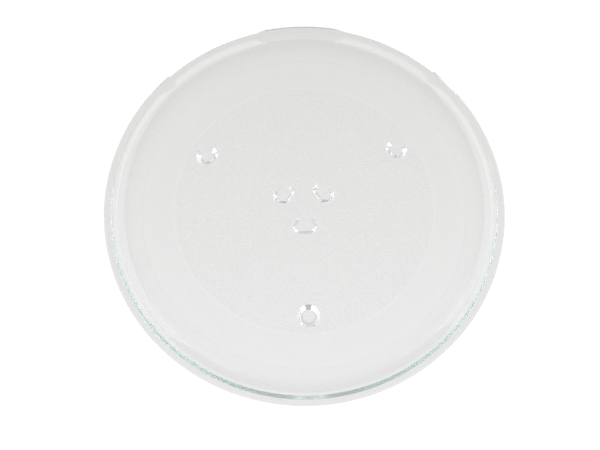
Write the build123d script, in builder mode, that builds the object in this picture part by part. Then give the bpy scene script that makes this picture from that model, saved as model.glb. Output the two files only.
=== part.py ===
from build123d import *
from math import acos, atan2, degrees, sqrt
import os

# Glass turntable plate of a microwave oven, pressed in one piece.
# A shallow dish: flat floor, wall in one hollow curve, flat lip.
# Three drive lugs stand in the middle of the underside, round the oven's three-armed coupler.
# Three conical feet further out carry the plate on a worktop and keep the lugs off it.
# A shallow sunk band in the underside is the track for the wheels of the roller ring.
# Sizes are in millimetres. Z = 0 is the level of the feet, and Z is the turning axis.

# Dish
plate_diameter = 288.0
floor_thickness = 5.0
rim_rise = 10.5
cove_radius = 20.0
lip_width = 6.7
lip_thickness = 4.3
lip_inner_round = 0.8
lip_outer_bevel = 1.0
lip_under_bevel = 0.9

# Roller track, sunk into the underside up to the foot of the wall
track_inner_radius = 95.8
track_depth = 0.3
track_step_run = 1.0

# Feet, just inside the roller track
foot_count = 3
foot_to_track = 4.3
foot_height = 4.6
foot_root_diameter = 16.2
foot_tip_diameter = 8.5
foot_root_bevel = 0.4
foot_tip_round = 0.5

# Drive lugs
lug_count = 3
lug_inner_radius = 11.0
lug_outer_radius = 23.7
lug_half_angle = 28.0
lug_height = 2.6
lug_draft = 42.7
lug_outer_corner = 5.5
lug_inner_corner = 3.2
lug_root_bevel = 0.4
lug_tip_bevel = 0.4

# Levels that follow from the sizes above
plate_radius = plate_diameter / 2
underside = foot_height
track_level = underside + track_depth
floor_level = underside + floor_thickness
rim_level = floor_level + rim_rise
lip_underside = rim_level - lip_thickness
foot_circle_radius = track_inner_radius - foot_to_track - foot_root_diameter / 2
foot_draft = degrees(atan2((foot_root_diameter - foot_tip_diameter) / 2, foot_height))

# Both sides of the wall turn about one centre, so the glass is as thick there as over the track.
heel_radius = cove_radius + floor_thickness - track_depth
wall_centre_level = floor_level + cove_radius
rim_inner_radius = plate_radius - lip_width
wall_centre_radius = rim_inner_radius - sqrt(cove_radius**2 - (cove_radius - rim_rise) ** 2)
cove_sweep = degrees(acos((wall_centre_level - rim_level) / cove_radius))
heel_sweep = degrees(acos((wall_centre_level - lip_underside) / heel_radius))

# Feet and lugs start at the side towards the user, an angle counted on the underside.
user_side = 90.0
below_floor = Plane(origin=(0, 0, underside), x_dir=(1, 0, 0), z_dir=(0, 0, -1))

# One lug's outline: a sector of a ring, narrow end towards the coupler, with wide outer corners.
with BuildSketch() as lug_outline:
    with BuildLine():
        lug_outer_edge = CenterArc((0, 0), lug_outer_radius, -lug_half_angle, 2 * lug_half_angle)
        lug_inner_edge = CenterArc((0, 0), lug_inner_radius, -lug_half_angle, 2 * lug_half_angle)
        Line(lug_inner_edge @ 0, lug_outer_edge @ 0)
        Line(lug_inner_edge @ 1, lug_outer_edge @ 1)
    make_face()
    lug_corners = lug_outline.vertices().sort_by_distance((0, 0))
    fillet(lug_corners[2:], lug_outer_corner)
    lug_corners = lug_outline.vertices().sort_by_distance((0, 0))
    fillet(lug_corners[:2], lug_inner_corner)

with BuildPart() as plate:
    # Dish: a half section turned about Z.
    with BuildSketch(Plane.XZ) as section:
        with BuildLine():
            wall_centre = (wall_centre_radius, wall_centre_level)
            straight_down = -90.0
            cove = CenterArc(wall_centre, cove_radius, straight_down, cove_sweep)
            heel = CenterArc(wall_centre, heel_radius, straight_down, heel_sweep)
            Polyline(
                cove @ 0,
                (0, floor_level),
                (0, underside),
                (track_inner_radius, underside),
                (track_inner_radius + track_step_run, track_level),
                heel @ 0,
            )
            Polyline(
                heel @ 1,
                (plate_radius, lip_underside),
                (plate_radius, rim_level),
                cove @ 1,
            )
        make_face()
        lip_edge = cove @ 1
        fillet(section.vertices().sort_by_distance((lip_edge.X, rim_level))[0], lip_inner_round)
        chamfer(section.vertices().sort_by_distance((plate_radius, rim_level))[0], lip_outer_bevel)
        chamfer(section.vertices().sort_by_distance((plate_radius, lip_underside))[0], lip_under_bevel)
    revolve(axis=Axis.Z)

    # Feet: drafted cones with flat tips.
    with BuildSketch(below_floor):
        with PolarLocations(foot_circle_radius, foot_count, start_angle=user_side):
            Circle(foot_root_diameter / 2)
    extrude(amount=foot_height, taper=foot_draft)
    foot_tips = plate.faces().filter_by(Plane.XY).group_by(Axis.Z)[0]
    fillet(foot_tips.edges(), foot_tip_round)

    # Lugs: drafted blocks with bevelled tips, a little shorter than the feet.
    with BuildSketch(below_floor):
        with PolarLocations(0, lug_count, start_angle=user_side):
            add(lug_outline.sketch)
    extrude(amount=lug_height, taper=lug_draft)
    lug_tips = plate.faces().filter_by(Plane.XY).group_by(Axis.Z)[1]
    chamfer(lug_tips.edges(), lug_tip_bevel)

    # Roots: feet and lugs run out into the underside with a small bevel.
    underside_face = plate.faces().filter_by(Plane.XY).group_by(Axis.Z)[2].sort_by(SortBy.AREA)[-1]
    roots = underside_face.inner_wires().sort_by_distance((0, 0, underside))
    chamfer(roots[:lug_count].edges(), lug_root_bevel)
    underside_face = plate.faces().filter_by(Plane.XY).group_by(Axis.Z)[2].sort_by(SortBy.AREA)[-1]
    roots = underside_face.inner_wires().sort_by_distance((0, 0, underside))
    chamfer(roots[lug_count:].edges(), foot_root_bevel)

plate.part.label = "turntable_plate"
os.makedirs("parts", exist_ok=True)
export_step(plate.part, "parts/turntable_plate.step")
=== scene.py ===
import math

import bmesh
import bpy
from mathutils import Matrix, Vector


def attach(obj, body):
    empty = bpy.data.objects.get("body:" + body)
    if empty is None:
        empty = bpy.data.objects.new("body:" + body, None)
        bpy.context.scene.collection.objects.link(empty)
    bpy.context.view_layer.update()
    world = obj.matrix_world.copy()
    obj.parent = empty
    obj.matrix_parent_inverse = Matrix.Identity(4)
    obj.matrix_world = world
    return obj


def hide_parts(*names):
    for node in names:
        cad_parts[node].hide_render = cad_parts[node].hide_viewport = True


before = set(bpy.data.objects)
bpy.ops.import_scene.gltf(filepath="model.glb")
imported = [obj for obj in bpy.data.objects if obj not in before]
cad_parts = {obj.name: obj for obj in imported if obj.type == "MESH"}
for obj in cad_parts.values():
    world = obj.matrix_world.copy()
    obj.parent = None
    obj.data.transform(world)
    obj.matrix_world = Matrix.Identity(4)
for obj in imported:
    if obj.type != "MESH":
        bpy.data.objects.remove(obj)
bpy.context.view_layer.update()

# The dish: clear soda-lime glass, one gob pressed between a mould and a plunger.
# The floor is flat, the wall is one hollow curve about a single centre, and the lip is flat.
# Under the floor, a smooth sunk band is the track for the oven's roller ring.
MM = 0.001
plate_radius = 144.0
underside = 4.6
track_level = 4.9
floor_level = 9.6
rim_level = 20.1
cove_radius = 20.0
heel_radius = 24.7
lip_width = 6.7
lip_thickness = 4.3
lip_inner_round = 0.8
lip_outer_round = 1.4
lip_under_round = 1.2
lip_root_round = 2.0
track_inner_radius = 95.8
track_step_run = 1.0
step_blend = 0.1
step_lead = 0.5
wall_foot_width = 0.7
floor_middle_radius = 40.0
turns = 288
fine_step = math.radians(4)

# Painted light and shade: each of these lightens or darkens the glass of a face a little, in place of how
# light falls there.
# Painted highlight: the faces of the roller track's step are lighter, for the bright line that the step
# shows.
step_painted_highlight = 0.022
# Painted shade: a dark line where the wall leaves the track.
wall_foot_painted_shade = -0.035
# Painted shade: the whole lip is a little darker.
lip_painted_shade = -0.045
# Painted shade on the stippled underside of the wall, deeper the higher the wall climbs.
wall_painted_shade = -0.11
wall_painted_shade_start = 0.1
wall_painted_shade_rise = 5.0
wall_stipple = 0.7

quarter = math.pi / 2
lip_underside = rim_level - lip_thickness
wall_centre_level = floor_level + cove_radius
wall_reach = math.sqrt(cove_radius**2 - (wall_centre_level - rim_level) ** 2)
wall_centre_radius = plate_radius - lip_width - wall_reach
wall_centre = Vector((wall_centre_radius, wall_centre_level))


def arc(centre, radius, start, end, hollow=False):
    """Points of an arc, each with the way that the glass faces there."""
    count = max(2, math.ceil(abs(end - start) / fine_step))
    points = []
    for k in range(count + 1):
        angle = start + (end - start) * k / count
        spoke = Vector((math.cos(angle), math.sin(angle)))
        points.append((centre + spoke * radius, -spoke if hollow else spoke))
    return points


def beside_wall(level, reach):
    """Centre of a round at this level that touches one side of the wall, and its bearing."""
    drop = wall_centre_level - level
    centre = Vector((wall_centre_radius + math.sqrt(reach**2 - drop**2), level))
    return centre, math.atan2(-drop, centre.x - wall_centre_radius)


# Half section from the track's inner edge, under the wall, round the lip and back over the floor.
down = Vector((0, -1))
step_slope = (track_level - underside) / track_step_run
step_face = Vector((step_slope, -1)).normalized()
nearly_down = (down * 3 + step_face).normalized()
nearly_step = (down + step_face * 3).normalized()
step_top = track_inner_radius + track_step_run
section = [
    (Vector((track_inner_radius - step_lead, underside)), down),
    (Vector((track_inner_radius - step_blend, underside)), nearly_down),
    (Vector((track_inner_radius + step_blend, underside + step_blend * step_slope)), nearly_step),
    (Vector((step_top - step_blend, track_level - step_blend * step_slope)), nearly_step),
    (Vector((step_top + step_blend, track_level)), nearly_down),
    (Vector((step_top + step_lead, track_level)), down),
    (Vector((wall_centre_radius - wall_foot_width, track_level)), down),
]
step_bands = range(1, 4)
wall_foot_band = len(section) - 1

root_centre, root_bearing = beside_wall(lip_underside - lip_root_round, heel_radius + lip_root_round)
edge_centre, edge_bearing = beside_wall(rim_level - lip_inner_round, cove_radius + lip_inner_round)
lip_under_centre = Vector((plate_radius - lip_under_round, lip_underside + lip_under_round))
lip_outer_centre = Vector((plate_radius - lip_outer_round, rim_level - lip_outer_round))
section += arc(wall_centre, heel_radius, -quarter, root_bearing)
section += arc(root_centre, lip_root_round, root_bearing + math.pi, quarter, hollow=True)[1:]
section += arc(lip_under_centre, lip_under_round, -quarter, 0)
section += arc(lip_outer_centre, lip_outer_round, 0, quarter)
section += arc(edge_centre, lip_inner_round, quarter, edge_bearing + math.pi)
section += arc(wall_centre, cove_radius, edge_bearing, -quarter, hollow=True)[1:]
section.append((Vector((floor_middle_radius, floor_level)), -down))

skin = bmesh.new()
stipple_of = skin.faces.layers.float.new("stippled")
painted_light_of = skin.faces.layers.float.new("painted_light")
facing = []


def point(x, y, z, way):
    """A corner of the glass, given in millimetres, and the way that the glass faces there."""
    facing.append(Vector(way).normalized())
    return skin.verts.new((x * MM, y * MM, z * MM))


def band(lower, upper, stipple=0.0, painted_light=0.0):
    """A closed strip of faces between two loops of corners."""
    for k in range(len(lower)):
        n = (k + 1) % len(lower)
        face = skin.faces.new((lower[k], lower[n], upper[n], upper[k]))
        face[stipple_of] = stipple
        face[painted_light_of] = painted_light


rings = []
for (r, z), (out, up) in section:
    ring = []
    for k in range(turns):
        angle = 2 * math.pi * k / turns
        c, s = math.cos(angle), math.sin(angle)
        ring.append(point(r * c, r * s, z, (out * c, out * s, up)))
    rings.append(ring)

# Each strip gets its painted light or shade: the lip, the underside of the wall, the wall's foot and the
# track's step.
for k, (lower, upper) in enumerate(zip(rings, rings[1:])):
    (r, z), (out, up) = section[k]
    if r > plate_radius - lip_width:
        band(lower, upper, painted_light=lip_painted_shade)
    elif k > wall_foot_band and up < 0:
        climb = (z + section[k + 1][0].y) / 2 - track_level
        share = min(1.0, wall_painted_shade_start + climb / wall_painted_shade_rise)
        band(lower, upper, wall_stipple, wall_painted_shade * share)
    elif k == wall_foot_band:
        band(lower, upper, painted_light=wall_foot_painted_shade)
    elif k in step_bands:
        band(lower, upper, painted_light=step_painted_highlight)
    else:
        band(lower, upper)

hub = point(0, 0, floor_level, (0, 0, 1))
for k in range(turns):
    skin.faces.new((rings[-1][k], rings[-1][(k + 1) % turns], hub))

# The feet: three flat-tipped cones of the same glass, pressed with the underside.
# They stand just inside the track and carry the plate when it is out of the oven.
foot_circle_radius = 83.4
foot_root_radius = 8.1
foot_tip_radius = 4.25
foot_height = 4.6
foot_root_round = 0.6
foot_tip_round = 0.5
foot_draft = math.atan2(foot_root_radius - foot_tip_radius, foot_height)

# One foot and one lug lie towards the user, the others a third of a turn on.
user_side = math.radians(270)
thirds = [user_side + k * 2 * math.pi / 3 for k in range(3)]


def boss(outline, turn, shift, height, draft, root_round, tip_round):
    """Skin of a drafted block under the floor, from its hollow root round to its flat tip.
    Gives back the loop of corners that lies in the underside."""
    lean = quarter - draft
    root_centre = Vector((root_round * math.tan(lean / 2), root_round))
    tip_reach = height * math.tan(draft) + tip_round * math.tan(lean / 2)
    tip_centre = Vector((-tip_reach, height - tip_round))
    side = arc(root_centre, root_round, -quarter, -quarter - lean, hollow=True)
    side += arc(tip_centre, tip_round, quarter - lean, quarter)
    c, s = math.cos(turn), math.sin(turn)
    loops = []
    for (out, depth), (out_way, depth_way) in side:
        loop = []
        for place, way in outline:
            q = place + way * out + Vector((shift, 0))
            faces = ((way.x * c - way.y * s) * out_way, (way.x * s + way.y * c) * out_way, -depth_way)
            loop.append(point(q.x * c - q.y * s, q.x * s + q.y * c, underside - depth, faces))
        loops.append(loop)
    for upper, lower in zip(loops, loops[1:]):
        band(lower, upper)
    skin.faces.new(list(reversed(loops[-1])))
    return loops[0]


foot_outline = arc(Vector((0, 0)), foot_root_radius, 0, 2 * math.pi)[:-1]
roots = []
for turn in thirds:
    roots.append(
        boss(foot_outline, turn, foot_circle_radius, foot_height, foot_draft, foot_root_round, foot_tip_round)
    )

# The drive lugs: three sector-shaped blocks of the same glass, drafted to leave the mould.
# The arms of the oven's coupler stand in the gaps between them and turn the plate.
lug_inner_radius = 11.0
lug_outer_radius = 23.7
lug_half_angle = math.radians(28)
lug_height = 2.6
lug_draft = math.radians(42.7)
lug_outer_corner = 5.5
lug_inner_corner = 3.2
lug_root_round = 0.6
lug_tip_round = 0.5


def spoke_end(radius, angle):
    """The point at this radius and angle from the middle of the plate."""
    return Vector((radius * math.cos(angle), radius * math.sin(angle)))


# Half the outline runs from the middle of the outer edge to the middle of the inner edge.
outer_reach = lug_outer_radius - lug_outer_corner
outer_angle = lug_half_angle - math.asin(lug_outer_corner / outer_reach)
inner_reach = lug_inner_radius + lug_inner_corner
inner_angle = lug_half_angle - math.asin(lug_inner_corner / inner_reach)
flank = lug_half_angle + quarter
outer_corner_centre = spoke_end(outer_reach, outer_angle)
inner_corner_centre = spoke_end(inner_reach, inner_angle)
half = arc(Vector((0, 0)), lug_outer_radius, 0, outer_angle)[:-1]
half += arc(outer_corner_centre, lug_outer_corner, outer_angle, flank)
half += arc(inner_corner_centre, lug_inner_corner, flank, inner_angle + math.pi)[:-1]
half += arc(Vector((0, 0)), lug_inner_radius, inner_angle, 0, hollow=True)
mirrored = [(Vector((p.x, -p.y)), Vector((n.x, -n.y))) for p, n in reversed(half[1:-1])]
for turn in thirds:
    roots.append(boss(half + mirrored, turn, 0, lug_height, lug_draft, lug_root_round, lug_tip_round))

# The underside between feet and lugs: the mould is stippled there, as it is under the wall.
# The fine grain hides scratches and spreads the light, and the roller track is left smooth.
# With it the skin of the glass is closed, so the whole plate is one pressed piece.
middle_stipple = 1.0
edges = []
for loop in roots + [rings[0]]:
    for k in range(len(loop)):
        pair = (loop[k], loop[(k + 1) % len(loop)])
        edges.append(skin.edges.get(pair) or skin.edges.new(pair))
filled = bmesh.ops.triangle_fill(skin, use_beauty=True, use_dissolve=False, edges=edges, normal=(0, 0, -1))
for face in filled["geom"]:
    if isinstance(face, bmesh.types.BMFace):
        face[stipple_of] = middle_stipple
        face.normal_update()
        if face.normal.z > 0:
            face.normal_flip()

plate_mesh = bpy.data.meshes.new("turntable_plate_glass")
skin.to_mesh(plate_mesh)
skin.free()
plate_mesh.shade_smooth()
plate_mesh.normals_split_custom_set_from_vertices(facing)
plate = bpy.data.objects.new("turntable_plate_glass", plate_mesh)
bpy.context.collection.objects.link(plate)

# The glass itself: nearly clear, green only where light runs a long way inside it, as at the lip.
# The grain of the mould dents the stippled faces and shades them slightly.
# Its grey is painted shade: it darkens all light seen through the glass, in place of the shadow that the
# plate would cast on the glowing table.
painted_shadow_grey = 0.745
glass_index = 1.5
mirror_tint = (0.55, 0.55, 0.55, 1)
deep_colour = (0.2, 0.47, 0.42, 1)
deep_density = 2.7
grain_scale = 720.0
grain_detail = 1.0
grain_stretch = (1, 1.5, 1)
grain_depth = 0.15 * MM
grain_mean = 0.57
grain_shade = 0.18


class Socket:
    """A socket of a node tree. Sums of sockets add Math nodes, and node() adds any other node."""

    def __init__(self, tree, end):
        self.tree = tree
        self.end = end

    @classmethod
    def node(cls, tree, kind, settings, values, output=None):
        """Adds a node, makes its settings, then sets or links its sockets by their identifiers."""
        made = tree.nodes.new(kind)
        for name, setting in settings.items():
            setattr(made, name, setting)
        for name, value in values.items():
            entry = next(e for e in made.inputs if e.identifier == name)
            if isinstance(value, cls):
                tree.links.new(value.end, entry)
            else:
                entry.default_value = value
        ends = [e for e in made.outputs if output in (None, e.identifier)]
        return cls(tree, ends[0]) if ends else None

    def maths(self, operation, first, second):
        values = {"Value": first, "Value_001": second}
        return self.node(self.tree, "ShaderNodeMath", {"operation": operation}, values)

    def __add__(self, other):
        return self.maths("ADD", self, other)

    def __radd__(self, other):
        return self.maths("ADD", other, self)

    def __sub__(self, other):
        return self.maths("SUBTRACT", self, other)

    def __rsub__(self, other):
        return self.maths("SUBTRACT", other, self)

    def __mul__(self, other):
        return self.maths("MULTIPLY", self, other)

    def __rmul__(self, other):
        return self.maths("MULTIPLY", other, self)


glass = bpy.data.materials.new("clear_glass")
glass.use_nodes = True
tree = glass.node_tree
tree.nodes.clear()
place = Socket.node(tree, "ShaderNodeTexCoord", {}, {}, "Object")
place = Socket.node(
    tree, "ShaderNodeVectorMath", {"operation": "MULTIPLY"}, {"Vector": place, "Vector_001": grain_stretch}
)
grain = Socket.node(
    tree, "ShaderNodeTexNoise", {}, {"Vector": place, "Scale": grain_scale, "Detail": grain_detail}, "Fac"
)
stippled = Socket.node(tree, "ShaderNodeAttribute", {"attribute_name": "stippled"}, {}, "Fac")
# Each face's painted light or shade is added to the colour of the glass.
painted_light = Socket.node(tree, "ShaderNodeAttribute", {"attribute_name": "painted_light"}, {}, "Fac")
dents = Socket.node(
    tree, "ShaderNodeBump", {}, {"Strength": 1.0, "Distance": grain_depth, "Height": grain * stippled}
)
surface = Socket.node(
    tree,
    "ShaderNodeBsdfPrincipled",
    {},
    {
        "Base Color": painted_light + painted_shadow_grey + (grain - grain_mean) * stippled * grain_shade,
        "Roughness": 0.0,
        "IOR": glass_index,
        "Transmission Weight": 1.0,
        "Specular Tint": mirror_tint,
        "Normal": dents,
    },
)
inside = Socket.node(tree, "ShaderNodeVolumeAbsorption", {}, {"Color": deep_colour, "Density": deep_density})
Socket.node(tree, "ShaderNodeOutputMaterial", {}, {"Surface": surface, "Volume": inside})
plate_mesh.materials.append(glass)
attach(plate, "root")
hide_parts("turntable_plate")

# The table: a plain matt white sheet, just under the tips of the feet.
# Its light is painted: it glows, more at the front than at the back as if the lamps lit the front more, so
# that the ground is white and the plate casts almost no shadow on it.
table_size = 6.0
table_gap = 0.1 * MM
table_grey = (0.1, 0.1, 0.1, 1)
near_glow = (1.045, 1.035, 1.038, 1)
far_glow = (0.89, 0.89, 0.874, 1)
glow_reach = 0.15

bpy.ops.mesh.primitive_plane_add(size=table_size, location=(0, 0, -table_gap))
floor = bpy.context.object
floor.name = "studio_floor"
white = bpy.data.materials.new("white_table")
white.use_nodes = True
tree = white.node_tree
tree.nodes.clear()
place = Socket.node(tree, "ShaderNodeTexCoord", {}, {}, "Object")
depth = Socket.node(tree, "ShaderNodeSeparateXYZ", {}, {"Vector": place}, "Y")
share = Socket.node(
    tree, "ShaderNodeMapRange", {}, {"Value": depth, "From Min": -glow_reach, "From Max": glow_reach}
)
glow = Socket.node(
    tree,
    "ShaderNodeMix",
    {"data_type": "RGBA"},
    {"Factor_Float": share, "A_Color": near_glow, "B_Color": far_glow},
    "Result_Color",
)
surface = Socket.node(
    tree,
    "ShaderNodeBsdfPrincipled",
    {},
    {
        "Base Color": table_grey,
        "Roughness": 1.0,
        "Specular IOR Level": 0.0,
        "Emission Color": glow,
        "Emission Strength": 1.0,
    },
)
Socket.node(tree, "ShaderNodeOutputMaterial", {}, {"Surface": surface})
floor.data.materials.append(white)

# The light: a white room that is brighter overhead, and softboxes in pairs, left and right.
# The front pair and the long side pair light the feet, and the back pair gives the wall its gleam.
room_horizon = 0.66
room_top = 0.95
room_fade = (0.2, 0.9)
lamp_distance = 1.4
back = 90.0

world = bpy.data.worlds.new("studio_white")
bpy.context.scene.world = world
world.use_nodes = True
tree = world.node_tree
tree.nodes.clear()
ray = Socket.node(tree, "ShaderNodeTexCoord", {}, {}, "Generated")
climb = Socket.node(tree, "ShaderNodeSeparateXYZ", {}, {"Vector": ray}, "Z")
sky = Socket.node(
    tree,
    "ShaderNodeMapRange",
    {"interpolation_type": "SMOOTHSTEP"},
    {
        "Value": climb,
        "From Min": room_fade[0],
        "From Max": room_fade[1],
        "To Min": room_horizon,
        "To Max": room_top,
    },
)
room = Socket.node(tree, "ShaderNodeBackground", {}, {"Color": sky, "Strength": 1.0})
Socket.node(tree, "ShaderNodeOutputWorld", {}, {"Surface": room})


def softbox_pair(name, turn, elevation, width, height, power):
    """Two like softboxes aimed at the plate, turned this far to the left and right of the back."""
    for side, azimuth in (("left", back + turn), ("right", back - turn)):
        lamp = bpy.data.lights.new(name.format(side), "AREA")
        lamp.shape = "RECTANGLE"
        lamp.size = width
        lamp.size_y = height
        lamp.energy = power
        box = bpy.data.objects.new(lamp.name, lamp)
        a, e = math.radians(azimuth), math.radians(elevation)
        toward = Vector((math.cos(a) * math.cos(e), math.sin(a) * math.cos(e), math.sin(e)))
        box.location = lamp_distance * toward
        box.rotation_euler = (-toward).to_track_quat("-Z", "Y").to_euler()
        bpy.context.collection.objects.link(box)


softbox_pair("front_{}_softbox", turn=141, elevation=20, width=1.0, height=1.0, power=6.3)
softbox_pair("{}_strip", turn=72, elevation=20, width=2.6, height=1.0, power=17.0)
softbox_pair("back_{}_softbox", turn=24, elevation=37, width=0.42, height=0.62, power=0.8)
softbox_pair("back_{}_core", turn=24, elevation=37, width=0.24, height=0.36, power=0.4)

# The camera: stands in front of the plate and looks down on it.
# Light runs round inside the lip for many bounces, so they are followed further than usual.
eye_place = Vector((-8.5, -148.4, 416.1 + floor_level))
aim_place = Vector((-3.7, -17.7, floor_level))
lens = 36.0
sensor_width = 36.0
bounces = 96

scene = bpy.context.scene
scene.view_settings.view_transform = "Standard"
scene.cycles.blur_glossy = 0.0
scene.cycles.max_bounces = bounces
scene.cycles.glossy_bounces = bounces
scene.cycles.transmission_bounces = bounces
camera = bpy.data.cameras.new("camera")
camera.lens = lens
camera.sensor_width = sensor_width
camera.dof.use_dof = False
eye = bpy.data.objects.new("camera", camera)
eye.location = eye_place * MM
eye.rotation_euler = (aim_place - eye_place).to_track_quat("-Z", "Y").to_euler()
bpy.context.collection.objects.link(eye)
scene.camera = eye

bpy.context.view_layer.update()
